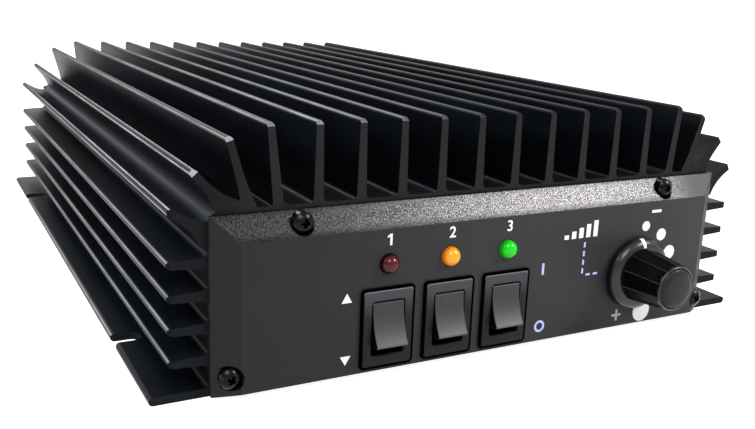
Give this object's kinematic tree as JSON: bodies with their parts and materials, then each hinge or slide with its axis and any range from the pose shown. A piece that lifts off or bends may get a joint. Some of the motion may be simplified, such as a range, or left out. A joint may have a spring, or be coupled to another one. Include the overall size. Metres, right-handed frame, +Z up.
{
  "type": "hf linear amplifier",
  "caption": "Mobile HF power amplifier: finned black heatsink with slotted flanges, bevelled panels, rocker switches, indicator lamps, output knob and rear coaxial sockets.",
  "frame": {"origin": "middle of the underside, half way between the ends of the extrusion", "axes": "+X to the right of the front panel, +Y from the front panel to the rear, +Z up"},
  "size_m": [0.184, 0.2874, 0.064],
  "materials": {
    "black_anodised": "satin black anodised",
    "panel_paint": "satin charcoal powder coat",
    "cover_steel": "satin black steel sheet",
    "black_screws": "gloss black plated steel",
    "switch_plastic": "satin black nylon",
    "rocker_plastic": "satin black nylon",
    "knob_plastic": "gloss black plastic",
    "red_lens": "dark red tinted resin, unlit",
    "amber_lens": "amber tinted resin, lit",
    "green_lens": "green tinted resin, lit",
    "plated_steel": "bright zinc plate",
    "nickel": "nickel plate",
    "brass": "bright brass",
    "copper": "bare copper",
    "circuit_board": "green solder mask on glass epoxy",
    "phenolic": "brown phenolic moulding",
    "ceramic": "white ceramic and plated flange",
    "ferrite": "dark grey ferrite",
    "enamel_wire": "enamelled copper winding",
    "mica": "mica and metal clamp",
    "relay_case": "clear grey relay case",
    "capacitor_sleeve": "dark blue sleeve",
    "yellow_core": "yellow coated iron powder core",
    "resistor_body": "grey green cement coat",
    "fuse_block": "black heat resistant plastic",
    "fuse_plastic": "amber fuse body with plated blades",
    "insulator": "white fluoropolymer",
    "rubber": "black rubber"
  },
  "bodies": {
    "amplifier": {"heatsink_extrusion": "black_anodised", "front_panel": "panel_paint", "rear_panel": "panel_paint", "bottom_cover": "cover_steel", "front_panel_screws": "black_screws", "rear_panel_screws": "black_screws", "bottom_cover_screws": "black_screws", "mode_switch_case": "switch_plastic", "preamp_switch_case": "switch_plastic", "power_switch_case": "switch_plastic", "switch_terminals": "brass", "transmit_lamp": "red_lens", "preamp_lamp": "amber_lens", "power_lamp": "green_lens", "lamp_leads": "plated_steel", "indicator_board": "circuit_board", "indicator_board_screws": "plated_steel", "selector_body": "phenolic", "selector_nut": "nickel", "selector_washer": "nickel", "selector_terminals": "brass", "main_board": "circuit_board", "board_standoffs": "brass", "board_screws": "plated_steel", "power_transistors": "ceramic", "transistor_screws": "plated_steel", "output_transformer_cores": "ferrite", "output_transformer_tubes": "copper", "input_transformer_cores": "ferrite", "input_transformer_tubes": "copper", "filter_coils": "enamel_wire", "filter_capacitors": "mica", "relays": "relay_case", "reservoir_capacitors": "capacitor_sleeve", "supply_choke": "yellow_core", "attenuator_resistors": "resistor_body", "fuse_holders": "fuse_block", "blade_fuses": "fuse_plastic", "input_socket": "nickel", "output_socket": "nickel", "socket_insulators": "insulator", "socket_contacts": "brass", "socket_screws": "plated_steel", "board_links": "copper", "supply_gland": "rubber"},
    "mode_switch": {"mode_rocker": "rocker_plastic"},
    "preamp_switch": {"preamp_rocker": "rocker_plastic"},
    "power_switch": {"power_rocker": "rocker_plastic"},
    "output_selector": {"output_knob": "knob_plastic", "selector_shaft": "plated_steel"}
  },
  "joints": [
    {"name": "mode_rocker_tilt", "type": "hinge", "parent": "amplifier", "child": "mode_switch", "pos_m": [-0.0341, -0.12559, 0.0128], "axis": [1, 0, 0], "range_deg": [0, 32]},
    {"name": "preamp_rocker_tilt", "type": "hinge", "parent": "amplifier", "child": "preamp_switch", "pos_m": [-0.0165, -0.12559, 0.0128], "axis": [1, 0, 0], "range_deg": [0, 32]},
    {"name": "power_rocker_tilt", "type": "hinge", "parent": "amplifier", "child": "power_switch", "pos_m": [0.0011, -0.12559, 0.0128], "axis": [1, 0, 0], "range_deg": [0, 32]},
    {"name": "output_knob_turn", "type": "hinge", "parent": "amplifier", "child": "output_selector", "pos_m": [0.0465, -0.12799, 0.0175], "axis": [0, 1, 0], "range_deg": [0, 150]}
  ]
}
